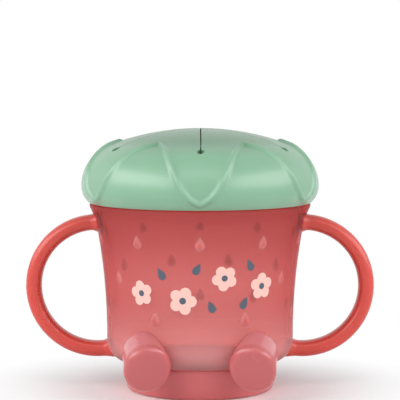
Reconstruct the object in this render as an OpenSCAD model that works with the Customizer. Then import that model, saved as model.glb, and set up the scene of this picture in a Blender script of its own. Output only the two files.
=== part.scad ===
/*
 Toddler snack cup shaped as a strawberry: a tinted cup with a grip base,
 two loop handles and two feet, under a leafy silicone lid that is slit into six flaps.
 Millimetres, +Z up, origin at the centre of the face the cup stands on, front towards -Y.
*/

/* [Cup] */
// Outer radius of the cup's straight lower wall
waist_r = 34.4; // [32:0.2:37]
// Radius of the long arc by which the wall flares to the mouth
flare_arc_r = 218; // [196:1:280]
// Height at which the flare starts
flare_start_z = 21; // [20:0.5:25]
// Radius of the rounded heel under the wall
heel_r = 7; // [6.2:0.2:8]
// Height of the heel's centre
heel_z = 18; // [17.6:0.2:19]
// Wall thickness of the cup
cup_wall = 2; // [1.6:0.1:2.4]
// Height of the cup's inner floor
floor_z = 4.6; // [4.2:0.1:6]
// Fillet round the inner floor
floor_fillet = 3; // [2:0.5:5]
// Height of the underside of the collar below the mouth
collar_z = 64.8; // [62.4:0.2:65.4]
// How far the collar stands out of the wall under it
collar_step = 1.8; // [1.2:0.1:2.2]
// Height of the collar's flat top
collar_top_z = 68.9; // [68:0.1:69.2]
// How far the upright rim stands back from the wall under the collar
rim_inset = 0.1; // [0:0.05:0.6]
// Wall thickness of the rim
rim_wall = 2.1; // [1.6:0.1:2.4]
// Height of the rim above the collar
rim_h = 5.9; // [5:0.1:7]

/* [Seeds] */
// Length of a raised seed
seed_len = 6; // [4:0.2:7]
// Width of a raised seed
seed_w = 4.2; // [3:0.2:5]
// How far a seed stands out of the wall
seed_rise = 0.7; // [0.3:0.05:0.9]
// Height of the top row of seeds
seed_top_z = 57.6; // [54:0.2:58.4]
// Drop from one row of seeds to the next
seed_row_drop = 13.6; // [12:0.2:14.2]

/* [Base] */
// Step in from the cup's straight wall to the base's top edge
base_inset = 5.4; // [4.8:0.1:5.8]
// How much narrower the base is at its foot
base_taper = 2.2; // [1:0.1:3]
// Height of the base
base_h = 11.4; // [10.4:0.1:11.8]
// Thickness of the base under the cup
base_floor = 2.5; // [2:0.1:3]
// Side wall of the base at its top edge
base_wall = 2; // [1.6:0.1:2.4]
// Round on the edge that the base stands on
base_round = 1.6; // [1:0.1:2]
// Width of the foot's ring round the recess under the base
base_land = 5.8; // [4.8:0.1:8]
// Depth of that recess
base_recess = 0.8; // [0.4:0.1:1.2]

/* [Handles] */
// Radius of a handle's centre line
handle_arc_r = 23.5; // [22:0.1:24.2]
// Distance of a handle's arc centre outside the cup's straight wall
handle_out = 3.5; // [2.6:0.1:4.6]
// Height of a handle's arc centre
handle_z = 38.2; // [37:0.1:38.6]
// Thickness of a handle, seen from the front
handle_t = 5.8; // [4.6:0.1:6.4]
// Width of a handle, front to back
handle_w = 8; // [6.8:0.1:10]
// How far a handle or foot is let into the cup's wall
socket = 0.8; // [0.4:0.1:1]
// Extra thickness of the pad where a handle meets the wall
root_pad = 0.5; // [0.3:0.1:1.2]
// Length of that pad along the handle, in degrees of its arc
root_pad_deg = 5; // [4:0.5:12]
// How far a handle's arc runs on into the wall, in degrees of its arc
root_reach_deg = 6; // [4:0.5:8]

/* [Feet] */
// Radius of a foot at its sole
foot_r = 8.4; // [7.4:0.1:8.8]
// Radius of a foot's ball-shaped root
foot_root_r = 7.2; // [6.4:0.1:8]
// Half the height of a foot at its sole
foot_half_h = 9.408; // [8.4:0.001:10]
// Length of a foot from its sole to the middle of its round root
foot_len = 11.6; // [10:0.2:14]
// Round on the sole's edge
foot_round = 2.4; // [1.6:0.2:5]
// Azimuth of a sole's centre from the front
sole_turn = 25; // [22:0.5:28]
// Distance of a sole's centre in front of the cup's straight wall
sole_out = 4.4; // [3:0.2:5.2]
// Height of a sole's centre
sole_z = 12.6; // [12:0.2:15]
// Downward tilt of a foot
foot_tilt = 24; // [18:1:34]
// Outward turn of a foot's root
foot_splay = 12; // [8:1:20]
// Clearance between a foot and the base's top edge
foot_gap = 0.2; // [0.1:0.05:0.4]

/* [Lid] */
// Height of the lid's lower edge
lid_edge_z = 69.3; // [69.2:0.05:69.7]
// How far the lid's widest point stands out of the bore that grips the rim
lid_overhang = 4.8; // [4.2:0.1:5.7]
// Height of the lid's widest point above its lower edge
lid_belly_h = 6; // [5.6:0.1:7]
// Radius of the round under the widest point
lid_under_r = 8; // [7.2:0.1:9]
// Radius of the lid's shoulder
lid_shoulder_r = 15.9; // [14:0.1:17]
// Radius of the crown's large arc
lid_crown_r = 94; // [85:1:110]
// Thickness of the silicone sheet
lid_t = 1.7; // [1.4:0.1:2.1]
// Thickness of the flange that rests on the cup's rim
flange_t = 2; // [1.6:0.1:2.4]
// Thickness of the lid's inner skirt
skirt_t = 1.6; // [1.2:0.1:2]
// How far the inner skirt hangs into the cup
skirt_drop = 3; // [2:0.1:5]
// Clearance between the rim and the lid's groove, at each side
rim_fit = 0.1; // [0.05:0.01:0.2]
// Clearance between the rim's top and the lid's flange
seat_fit = 0.1; // [0.05:0.01:0.2]

/* [Flaps] */
// Number of flaps and of leaves
flap_count = 6; // [6:1:6]
// Distance of a flap's hinge line from the lid's axis
hinge_apothem = 25.8; // [25:0.1:26.2]
// Drop of the hinge line below the crown's top
hinge_drop = 5.1; // [4.8:0.1:5.3]
// Radius of the rolled edge by which a flap bends
knuckle_r = 1.9; // [1.8:0.05:2]
// Width of a slit
slit_w = 0.8; // [0.75:0.05:1]
// Distance of a slit's end from the axis
slit_end_r = 34.9; // [34:0.1:36]
// Radius of the round hole that ends a slit
slit_hole_r = 1.1; // [0.8:0.1:1.4]
// Clearance round a flap's rolled edge
knuckle_fit = 0.05; // [0.03:0.01:0.1]
// Extra clearance at a flap's root corners
corner_relief = 0.6; // [0.5:0.05:1]

/* [Leaves] */
// Distance of the notch between two leaves from the axis
notch_r = 29.4; // [29.2:0.1:31]
// Width of a leaf's raised edge
rib_w = 3; // [2:0.1:3.2]
// Height of the raised edge
rib_rise = 1; // [0.6:0.1:1.2]
// Drop of a leaf's tip below the lid's widest point
leaf_tip_drop = 3.4; // [2.8:0.1:4.2]
// Tilt at which a leaf is laid over the shoulder
leaf_tilt = 40; // [36:1:44]

/* [Hidden] */

$fn = 96;
eps = 0.01;
far = 80;
// Straight stretches in the round end of a seed
seed_arc_steps = 12;
// How far a flap's flat sides reach into its rolled root
knuckle_overlap = 0.6;

cup_red = [0.86, 0.45, 0.45, 0.8];
solid_red = [0.84, 0.31, 0.27];
foot_red = [0.80, 0.40, 0.42];
mint = [0.66, 0.83, 0.73];
mint_deep = [0.60, 0.79, 0.68];

// Radius of the flared wall at a height above the start of the flare.
function wall_r(z) =
    z <= flare_start_z ? waist_r
    : waist_r + flare_arc_r - sqrt(pow(flare_arc_r, 2) - pow(z - flare_start_z, 2));

// Radius of the rounded heel at a height between its centre and the cup's step.
function heel_x(z) = waist_r - heel_r + sqrt(max(0, pow(heel_r, 2) - pow(heel_z - z, 2)));

rim_r = wall_r(collar_z) - rim_inset;
collar_r = wall_r(collar_z) + collar_step;
rim_top_z = collar_top_z + rim_h;
mouth_r = rim_r - rim_wall;
base_top_r = waist_r - base_inset;
base_foot_r = base_top_r - base_taper;
base_recess_r = base_foot_r - base_land;
handle_x = waist_r + handle_out;
sole_y = waist_r + sole_out;
sole_x = sole_y * tan(sole_turn);
step_z = base_h;
spigot_r = base_top_r - base_wall;
spigot_foot_r = base_foot_r - base_wall;
well_r = spigot_foot_r - cup_wall;

lid_seat_z = rim_top_z + seat_fit;
lid_bore_r = rim_r + rim_fit;
lid_r = lid_bore_r + lid_overhang;
lid_belly_z = lid_edge_z + lid_belly_h;
shoulder_x = lid_r - lid_shoulder_r;
crown_drop = sqrt(pow(lid_crown_r - lid_shoulder_r, 2) - pow(shoulder_x, 2));
crown_z = lid_belly_z - crown_drop;
lid_top_z = crown_z + lid_crown_r;
flange_top_z = lid_seat_z + flange_t;
skirt_r = mouth_r - rim_fit;
hinge_z = lid_top_z - hinge_drop;
flap_step = 360 / flap_count;

// ---- Cup ----

// Section of the cup's body, grown by an offset, from its step up to the collar.
module body_outline(grow) {
    low_z = step_z - min(grow, 0);
    difference() {
        translate([0, flare_start_z]) square([rim_r + far, collar_z - flare_start_z]);
        translate([waist_r + flare_arc_r, flare_start_z]) circle(flare_arc_r - grow, $fn = 360);
    }
    translate([0, heel_z]) square([waist_r + grow, flare_start_z - heel_z]);
    intersection() {
        translate([waist_r - heel_r, heel_z]) circle(heel_r + grow);
        translate([0, low_z]) square([far, heel_z - low_z]);
    }
    translate([0, low_z]) square([waist_r - heel_r, heel_z - low_z]);
}

// Section of the cup's outside with its spigot, collar and rim.
module cup_outline(grow) {
    body_outline(grow);
    polygon([
        [0, base_floor], [spigot_foot_r, base_floor],
        [spigot_r, step_z], [0, step_z]
    ]);
    translate([0, collar_z]) square([wall_r(collar_z) + grow, collar_top_z - collar_z]);
}

module collar_outline() {
    collar_mid_z = collar_z + (collar_top_z - collar_z) * 0.7;
    polygon([
        [0, collar_z], [wall_r(collar_z) + 0.5, collar_z], [collar_r, collar_mid_z],
        [collar_r, collar_top_z], [0, collar_top_z]
    ]);
    translate([0, collar_top_z]) square([rim_r, rim_h]);
}

// Section of the space inside the cup.
module cup_hollow_outline() {
    well_h = heel_z - floor_z;
    translate([0, floor_z]) square([well_r - floor_fillet, well_h]);
    translate([0, floor_z + floor_fillet]) square([well_r, well_h - floor_fillet]);
    translate([well_r - floor_fillet, floor_z + floor_fillet]) circle(floor_fillet);
    body_outline(-cup_wall);
    translate([0, collar_z - eps]) square([mouth_r, rim_top_z - collar_z + 1]);
}

// The outside of the cup as a solid, grown by an offset, for what is let into its wall.
module cup_form(grow) {
    rotate_extrude() cup_outline(grow);
}

// A drop: its lower arc ends where the straight sides to the tip touch it.
module seed_shape() {
    round_r = seed_w / 2;
    tip = seed_len - round_r;
    touch = asin(round_r / tip);
    arc = 180 + 2 * touch;
    polygon(concat(
        [[0, tip]],
        [for (i = [0:seed_arc_steps])
            let (angle = 180 - touch + arc * i / seed_arc_steps)
            [round_r * cos(angle), round_r * sin(angle)]]
    ));
}

// One seed on the slope of the wall, at an azimuth from the front.
module seed_at(azimuth, z) {
    slope = z > flare_start_z ? asin((z - flare_start_z) / flare_arc_r) : 0;
    root = cup_wall / 2;
    rotate([0, 0, azimuth])
        translate([0, -wall_r(z), z]) rotate([90 + slope, 0, 0])
            translate([0, -seed_len / 6, -root]) linear_extrude(root + seed_rise) seed_shape();
}

// Four staggered rows, clear of the handles, of the feet and of the printed front.
module seeds() {
    for (i = [0:9]) seed_at(36 * i, seed_top_z);
    for (a = [126, 162, 198, 234]) seed_at(a, seed_top_z - seed_row_drop);
    for (a = [54, 306]) seed_at(a, seed_top_z - seed_row_drop);
    for (a = [27, 72, 108, 144, 180, 216, 252, 288, 333]) seed_at(a, seed_top_z - 2 * seed_row_drop);
}

module cup_body() {
    color(cup_red) difference() {
        union() {
            rotate_extrude() {
                cup_outline(0);
                collar_outline();
            }
            seeds();
        }
        rotate_extrude() cup_hollow_outline();
        for (side = [-1, 1]) {
            handle_form(side);
            foot_form(side);
        }
    }
}

module base_boot() {
    color(solid_red) rotate_extrude() difference() {
        union() {
            translate([base_foot_r - base_round, base_round]) circle(base_round);
            square([base_foot_r - base_round, base_round]);
            polygon([
                [0, base_round], [base_foot_r, base_round],
                [base_top_r, base_h], [0, base_h]
            ]);
        }
        polygon([
            [-1, base_floor], [spigot_foot_r, base_floor],
            [spigot_r, base_h], [spigot_r, base_h + 1], [-1, base_h + 1]
        ]);
        translate([-1, -1]) square([base_recess_r + 1, base_recess + 1]);
    }
}

// ---- Handles and feet ----

module oval_section(grow) {
    end_r = handle_t / 2 + grow;
    flat = handle_w - handle_t;
    for (s = [-1, 1]) translate([handle_arc_r, s * flat / 2]) circle(end_r);
    translate([handle_arc_r, 0]) square([2 * end_r, flat], center = true);
}

// An arc of the handle's section, between two angles counted from straight out.
module handle_arc(from, to, grow) {
    rotate([90, 0, 0]) rotate([0, 0, from])
        rotate_extrude(angle = to - from) oval_section(grow);
}

// Angles at which the handle's centre line meets the cup's wall.
top_meet = 90 + asin((handle_x - wall_r(handle_z + handle_arc_r)) / handle_arc_r);
low_meet = -90 - asin((handle_x - heel_x(handle_z - handle_arc_r)) / handle_arc_r);

module handle_form(side) {
    difference() {
        mirror([side < 0 ? 1 : 0, 0, 0]) translate([handle_x, 0, handle_z]) {
            handle_arc(low_meet - root_reach_deg, top_meet + root_reach_deg, 0);
            handle_arc(top_meet - root_pad_deg, top_meet + root_reach_deg, root_pad);
            handle_arc(low_meet - root_reach_deg, low_meet + root_pad_deg, root_pad);
        }
        cup_form(-socket);
    }
}

module left_handle() {
    color(solid_red) handle_form(-1);
}

module right_handle() {
    color(solid_red) handle_form(1);
}

// Section of a foot: a round pod, flat in the middle of its sole, drawn in a little to a
// ball-shaped root; its flank touches the sole's round and the root's ball.
module foot_outline() {
    edge = [foot_r - foot_round, -foot_round];
    run = edge + [0, foot_len];
    lean = atan2(run.y, run.x) - acos((foot_root_r - foot_round) / norm(run));
    side_out = [cos(lean), sin(lean)];
    polygon([
        [0, 0], [0, -foot_len], [0, -foot_len] + foot_root_r * side_out,
        edge + foot_round * side_out, [edge.x, 0],
    ]);
    translate(edge) circle(foot_round);
    intersection() {
        translate([0, -foot_len]) circle(foot_root_r);
        translate([0, -foot_len - foot_root_r]) square([foot_root_r, 2 * foot_root_r]);
    }
}

module foot_form(side) {
    difference() {
        mirror([side > 0 ? 1 : 0, 0, 0])
            translate([-sole_x, -sole_y, sole_z])
                rotate([0, 0, foot_splay]) rotate([90 + foot_tilt, 0, 0])
                    scale([1, foot_half_h / foot_r, 1]) rotate_extrude() foot_outline();
        cup_form(-socket);
        cylinder(r = base_top_r + foot_gap, h = base_h + foot_gap);
    }
}

module left_foot() {
    color(foot_red) foot_form(-1);
}

module right_foot() {
    color(foot_red) foot_form(1);
}

// ---- Lid ----

// Section of the domed lid, grown by an offset: crown arc, shoulder arc and under-round.
module dome_outline(grow) {
    crown_half = asin(shoulder_x / (lid_crown_r - lid_shoulder_r));
    intersection() {
        translate([0, crown_z]) circle(lid_crown_r + grow, $fn = 360);
        polygon([
            [0, lid_belly_z],
            [shoulder_x, lid_belly_z],
            [shoulder_x + far * sin(crown_half), lid_belly_z + far * cos(crown_half)],
            [0, lid_belly_z + far]
        ]);
    }
    intersection() {
        translate([shoulder_x, lid_belly_z]) circle(lid_shoulder_r + grow);
        translate([0, lid_belly_z]) square([far, far]);
    }
    intersection() {
        translate([lid_r - lid_under_r, lid_belly_z]) circle(lid_under_r + grow);
        translate([0, lid_edge_z]) square([far, lid_belly_h]);
    }
    translate([0, lid_edge_z]) square([lid_r - lid_under_r, lid_belly_h]);
}

// Section of the whole lid: sheet, flange on the rim and groove round it.
module lid_outline() {
    difference() {
        dome_outline(0);
        intersection() {
            dome_outline(-lid_t);
            translate([-1, flange_top_z]) square([far, far]);
        }
        difference() {
            translate([-1, lid_edge_z - 1]) square([lid_bore_r + 1, lid_seat_z - lid_edge_z + 1]);
            translate([skirt_r - skirt_t, lid_seat_z - skirt_drop]) square([skirt_t, skirt_drop]);
        }
        translate([-1, lid_edge_z - 1]) square([skirt_r - skirt_t + 1, flange_top_z - lid_edge_z + 1 + eps]);
    }
}

module dome_sheet() {
    rotate_extrude() difference() {
        dome_outline(0);
        dome_outline(-lid_t);
    }
}

// Height of the dome above the lid's widest point, at a radius.
function crown_height(r) =
    r < shoulder_x * lid_crown_r / (lid_crown_r - lid_shoulder_r)
        ? sqrt(pow(lid_crown_r, 2) - r * r) - crown_drop
        : sqrt(max(0, pow(lid_shoulder_r, 2) - pow(r - shoulder_x, 2)));

// Radius of the dome at a drop below its widest point.
function under_r(drop) = lid_r - lid_under_r + sqrt(pow(lid_under_r, 2) - drop * drop);

// A point of the dome as it is seen along the leaf's tilted line of sight.
function seen(r, azimuth, height) = [
    r * sin(azimuth),
    height * cos(leaf_tilt) - r * cos(azimuth) * sin(leaf_tilt)
];

// Half a leaf's edge from its notch over the shoulder to its tip, as seen.
function on_crown(share, azimuth) =
    let (r = notch_r + (lid_r - notch_r) * share) seen(r, azimuth, crown_height(r));
function under_belly(drop, azimuth) = seen(under_r(drop), azimuth, -drop);
leaf_edge = [
    on_crown(0, flap_step / 2), on_crown(0.38, 20.6), on_crown(0.73, 15.2), on_crown(0.93, 11.4),
    under_belly(0, 6.6), under_belly(leaf_tip_drop, 0)
];

// The leaf's edge moved sideways by a distance.
function edge_path(shift) = [
    for (i = [0:len(leaf_edge) - 1])
        let (
            last = len(leaf_edge) - 1,
            from = leaf_edge[max(i - 1, 0)],
            to = i == last ? [-from[0], from[1]] : leaf_edge[i + 1],
            along = (to - from) / norm(to - from)
        )
        leaf_edge[i] + shift * [along[1], -along[0]]
];

module leaf_band(width) {
    outer = edge_path(-width / 2);
    inner = edge_path(width / 2);
    last = len(outer) - 1;
    half = concat(outer, [for (i = [last:-1:0]) inner[i]]);
    polygon(half);
    mirror([1, 0]) polygon(half);
}

// The raised edges of all leaves.
module leaf_ribs(width, rise) {
    near = lid_r * cos(leaf_tilt) - lid_belly_h;
    intersection() {
        rotate_extrude() difference() {
            dome_outline(rise);
            dome_outline(-lid_t / 2);
        }
        for (i = [0:flap_count - 1])
            rotate([0, 0, i * flap_step]) translate([0, 0, lid_belly_z])
                rotate([90 - leaf_tilt, 0, 0]) translate([0, 0, near])
                    linear_extrude(lid_r - near + lid_shoulder_r / 2) leaf_band(width);
    }
}

// Half the length of a flap's rolled root.
knuckle_half = hinge_apothem * tan(flap_step / 2) - slit_w / 2 / cos(flap_step / 2) - corner_relief;

// What turns with one flap, before it is cut out of the dome: a wedge with a rolled root.
module flap_cutter() {
    tip = slit_w;
    side_end = hinge_apothem - 3;
    side_half = (side_end - tip) * tan(flap_step / 2);
    root_y = hinge_apothem - knuckle_overlap;
    root_half = knuckle_half + 0.2;
    translate([0, 0, lid_belly_z]) linear_extrude(far / 2)
        polygon([
            [0, -tip], [side_half, -side_end], [root_half, -root_y],
            [-root_half, -root_y], [-side_half, -side_end]
        ]);
    translate([0, -hinge_apothem, hinge_z]) rotate([0, 90, 0])
        cylinder(r = knuckle_r, h = 2 * knuckle_half, center = true);
}

module lid() {
    color(mint) difference() {
        union() {
            rotate_extrude() lid_outline();
            leaf_ribs(rib_w, rib_rise);
        }
        translate([0, 0, lid_belly_z]) rotate([0, 0, -90])
            cylinder(r = hinge_apothem / cos(flap_step / 2), h = far, $fn = flap_count);
        for (i = [0:flap_count - 1]) {
            rotate([0, 0, i * flap_step]) slit();
            rotate([0, 0, (i + 0.5) * flap_step])
                translate([0, -hinge_apothem, hinge_z]) rotate([0, 90, 0])
                    cylinder(r = knuckle_r + knuckle_fit, h = 2 * knuckle_half + corner_relief, center = true);
        }
    }
}

module slit() {
    translate([-slit_w / 2, -slit_end_r, lid_belly_z + lid_shoulder_r / 3]) cube([slit_w, slit_end_r, far]);
    translate([0, -slit_end_r, lid_belly_z + lid_shoulder_r / 3]) cylinder(r = slit_hole_r, h = far);
}

module flap(i) {
    color(mint_deep) intersection() {
        dome_sheet();
        rotate([0, 0, (i - 0.5) * flap_step]) flap_cutter();
    }
}

cup_body();
base_boot();
left_handle();
right_handle();
left_foot();
right_foot();
lid();
flap(1);  // flap_1
flap(2);  // flap_2
flap(3);  // flap_3
flap(4);  // flap_4
flap(5);  // flap_5
flap(6);  // flap_6
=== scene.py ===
"""Toddler snack cup: the look of every surface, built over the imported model's frame.

The cup, its base, handles, feet and silicone lid are worked out as smooth surfaces from a few
driving sizes in millimetres, and each one takes the place of the solid piece it dresses. The cup
stands on z = 0 with its front towards -Y, and turns about its axis are measured from the front.
"""

import logging
import math
from dataclasses import dataclass, field
from enum import Enum

import bmesh
import bpy
import numpy as np
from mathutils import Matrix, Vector

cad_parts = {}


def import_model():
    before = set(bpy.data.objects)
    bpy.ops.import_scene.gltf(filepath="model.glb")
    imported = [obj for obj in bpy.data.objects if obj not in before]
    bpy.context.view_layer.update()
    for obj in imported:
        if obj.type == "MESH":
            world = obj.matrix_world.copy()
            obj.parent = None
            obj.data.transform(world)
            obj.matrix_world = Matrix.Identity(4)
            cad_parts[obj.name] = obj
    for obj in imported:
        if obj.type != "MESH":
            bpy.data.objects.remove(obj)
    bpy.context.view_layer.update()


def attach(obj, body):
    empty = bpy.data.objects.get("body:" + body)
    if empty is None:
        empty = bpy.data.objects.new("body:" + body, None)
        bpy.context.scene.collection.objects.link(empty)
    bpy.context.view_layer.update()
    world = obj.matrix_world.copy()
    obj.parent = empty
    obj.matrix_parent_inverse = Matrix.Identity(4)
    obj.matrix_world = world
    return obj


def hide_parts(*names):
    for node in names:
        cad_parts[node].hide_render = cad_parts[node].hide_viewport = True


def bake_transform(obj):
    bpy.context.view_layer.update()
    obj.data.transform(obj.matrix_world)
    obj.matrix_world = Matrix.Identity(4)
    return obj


LOG = logging.getLogger("snack_cup")
MM = 0.001
WELD_GAP = 2e-6  # metres between two vertices that become one
NEARLY_STRAIGHT = 0.01  # radians of bend below which a corner gets no fillet
FEWEST_ARC_POINTS = 3
STRAIGHT_STEPS = 3  # steps of an arc that make one step of a straight stretch
DOME_INSIDE = Vector((0, 0, 0.055))  # a spot inside the cup, under all of the lid


class Side(Enum):
    """The two sides of the cup, as the sign of their X."""

    LEFT = -1
    RIGHT = 1


# ---- Mesh helpers ----


def new_piece(name: str, points: np.ndarray, quads: np.ndarray) -> bpy.types.Object:
    """Make a smooth-shaded mesh object at the origin.

    Args:
        name: Name of the piece.
        points: Vertex places in millimetres, one row each.
        quads: Four vertex numbers a row.

    Returns:
        The new object, linked to the scene.
    """
    mesh = bpy.data.meshes.new(name)
    mesh.from_pydata((points * MM).tolist(), [], quads.tolist())
    mesh.update()
    piece = bpy.data.objects.new(name, mesh)
    bpy.context.scene.collection.objects.link(piece)
    weld(piece)
    mesh.shade_smooth()
    return piece


def weld(piece: bpy.types.Object) -> None:
    """Join vertices that lie on each other and drop faces that have no area.

    Args:
        piece: Piece whose mesh is cleaned.
    """
    work = bmesh.new()
    work.from_mesh(piece.data)
    bmesh.ops.remove_doubles(work, verts=work.verts, dist=WELD_GAP)
    bmesh.ops.dissolve_degenerate(work, edges=work.edges, dist=WELD_GAP / 2)
    work.to_mesh(piece.data)
    work.free()


def spots_of(piece: bpy.types.Object) -> np.ndarray:
    """Read where a piece's vertices lie.

    Args:
        piece: Piece to read.

    Returns:
        Three rows, x, y and z, in millimetres.
    """
    spots = np.empty(3 * len(piece.data.vertices), dtype=np.float32)
    piece.data.vertices.foreach_get("co", spots)
    return spots.reshape(-1, 3).T / MM


def set_share(piece: bpy.types.Object, name: str, share: np.ndarray) -> None:
    """Store a share from 0 to 1 at each vertex, which a finish reads by its name.

    Args:
        piece: Piece that gets the attribute.
        name: Name of the attribute.
        share: One value for each vertex.
    """
    layer = piece.data.attributes.new(name, "FLOAT", "POINT")
    layer.data.foreach_set("value", share.astype(np.float32))


def grid_quads(rows: int, columns: int, wrap: bool) -> np.ndarray:
    """Number the quads of a grid of rows by columns.

    Args:
        rows: Count of points along the first parameter.
        columns: Count of points along the second parameter.
        wrap: Whether the last column joins the first.

    Returns:
        Quads as rows of four vertex numbers.
    """
    row = np.arange(rows - 1)[:, None]
    column = np.arange(columns if wrap else columns - 1)[None, :]
    after = (column + 1) % columns
    quads = np.stack(
        [
            row * columns + column,
            row * columns + after,
            (row + 1) * columns + after,
            (row + 1) * columns + column,
        ],
        axis=-1,
    )
    return quads.reshape(-1, 4)


def closed_piece(name: str, grid: np.ndarray) -> bpy.types.Object:
    """Make a piece from a grid that closes round its second parameter and at both ends.

    Args:
        name: Name of the piece.
        grid: Places in millimetres: rows by columns by x, y and z.

    Returns:
        The new piece, its faces pointing out of it.
    """
    piece = new_piece(name, grid.reshape(-1, 3), grid_quads(*grid.shape[:2], True))
    work = bmesh.new()
    work.from_mesh(piece.data)
    bmesh.ops.recalc_face_normals(work, faces=work.faces)
    work.to_mesh(piece.data)
    work.free()
    return piece


def face_up(piece: bpy.types.Object) -> None:
    """Make every face of an open sheet point away from a spot inside the cup.

    The sheet's open edges are marked sharp, so that the thickness added there leaves its shading.

    Args:
        piece: Piece whose faces are turned.
    """
    work = bmesh.new()
    work.from_mesh(piece.data)
    bmesh.ops.recalc_face_normals(work, faces=work.faces)
    outward = sum(
        1 if (face.calc_center_median() - DOME_INSIDE).dot(face.normal) > 0 else -1
        for face in work.faces
    )
    if outward < 0:
        bmesh.ops.reverse_faces(work, faces=work.faces)
    for edge in work.edges:
        edge.smooth = not edge.is_boundary
    work.to_mesh(piece.data)
    work.free()


def rounded_profile(corners: list[tuple[float, float, float]], step: float = 0.35) -> np.ndarray:
    """Turn corners with fillet radii into an even run of profile points.

    Each corner is replaced by the arc of its radius that touches both of its sides, and the
    straight stretches between arcs are divided into short steps.

    Args:
        corners: Radius, height and fillet radius of each corner, in order.
        step: Longest stretch between two points of an arc, in millimetres.

    Returns:
        Points as rows of radius and height.
    """
    spots = np.array([corner[:2] for corner in corners], dtype=float)
    run: list[np.ndarray] = [spots[0]]
    for index in range(1, len(corners) - 1):
        before, here, after = spots[index - 1], spots[index], spots[index + 1]
        back = (before - here) / np.linalg.norm(before - here)
        ahead = (after - here) / np.linalg.norm(after - here)
        half = math.acos(float(np.clip(back @ ahead, -1, 1))) / 2
        radius = corners[index][2]
        if radius <= 0 or half > math.pi / 2 - NEARLY_STRAIGHT:
            run.append(here)
            continue
        reach = radius / math.tan(half)
        middle = here + (back + ahead) / np.linalg.norm(back + ahead) * radius / math.sin(half)
        first, last = here + back * reach - middle, here + ahead * reach - middle
        start = math.atan2(first[1], first[0])
        sweep = (math.atan2(last[1], last[0]) - start + math.pi) % (2 * math.pi) - math.pi
        count = max(FEWEST_ARC_POINTS, int(abs(sweep) * radius / step) + 2)
        angles = start + sweep * np.linspace(0, 1, count)
        run.extend(middle + radius * np.stack([np.cos(angles), np.sin(angles)], axis=1))
    run.append(spots[-1])
    points = np.array(run)
    filled = [points[:1]]
    for first, last in zip(points[:-1], points[1:], strict=True):
        stretch = float(np.linalg.norm(last - first))
        count = max(1, math.ceil(stretch / step / STRAIGHT_STEPS))
        share = np.linspace(0, 1, count + 1)[1:, None]
        filled.append(first + (last - first) * share)
    return np.concatenate(filled)


def revolve(name: str, profile: np.ndarray, turns: int) -> bpy.types.Object:
    """Carry a profile round the cup's axis.

    Args:
        name: Name of the piece.
        profile: Rows of radius and height, in millimetres.
        turns: Count of steps round the axis.

    Returns:
        The new piece.
    """
    angle = np.linspace(0, 2 * math.pi, turns, endpoint=False)
    radius, height = profile[:, :1], profile[:, 1:]
    return closed_piece(
        name,
        np.stack([radius * np.cos(angle), radius * np.sin(angle), height + 0 * angle], axis=-1),
    )


def smooth_step(low: float, high: float, value: np.ndarray) -> np.ndarray:
    """Rise smoothly from 0 to 1: three times the squared share less twice its cube.

    Args:
        low: Value at which the rise starts.
        high: Value at which it ends.
        value: Where it is wanted.

    Returns:
        The rise at each value.
    """
    share = np.clip((value - low) / (high - low), 0, 1)
    return share * share * (3 - 2 * share)


# ---- Finishes ----

CLOUD_SCALE = 90.0  # clouds of tone and gloss to a metre
CLOUD_DETAIL = 3.0
GRAIN_DETAIL = 2.0
GRAIN_DEPTH = 0.0002  # metres
SCATTER_DEPTH = 0.002  # metres
GLOSS_SWING = 0.06  # how far the roughness swings about its mean
LEAST_ROUGHNESS = 0.02


def read_share(tree: bpy.types.NodeTree, name: str) -> bpy.types.NodeSocket:
    """Read a share that set_share stored.

    Args:
        tree: Material's node tree.
        name: Name of the attribute.

    Returns:
        Socket that gives the share.
    """
    node = tree.nodes.new("ShaderNodeAttribute")
    node.attribute_name = name
    return node.outputs["Fac"]


def noise(
    tree: bpy.types.NodeTree, place: bpy.types.NodeSocket, scale: float, detail: float
) -> bpy.types.NodeSocket:
    """Lay a soft noise over the object.

    Args:
        tree: Material's node tree.
        place: Socket of the place on the object.
        scale: Waves to a metre.
        detail: Count of finer layers.

    Returns:
        Socket of the noise, from 0 to 1.
    """
    node = tree.nodes.new("ShaderNodeTexNoise")
    node.inputs["Scale"].default_value = scale
    node.inputs["Detail"].default_value = detail
    tree.links.new(place, node.inputs["Vector"])
    return node.outputs["Fac"]


def between(
    tree: bpy.types.NodeTree, share: bpy.types.NodeSocket, low: float, high: float
) -> bpy.types.NodeSocket:
    """Run from one number to another as a share runs from 0 to 1.

    Args:
        tree: Material's node tree.
        share: Socket of the share.
        low: Number at 0.
        high: Number at 1.

    Returns:
        Socket of the number.
    """
    node = tree.nodes.new("ShaderNodeMapRange")
    node.inputs["To Min"].default_value = low
    node.inputs["To Max"].default_value = high
    tree.links.new(share, node.inputs["Value"])
    return node.outputs["Result"]


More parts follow.
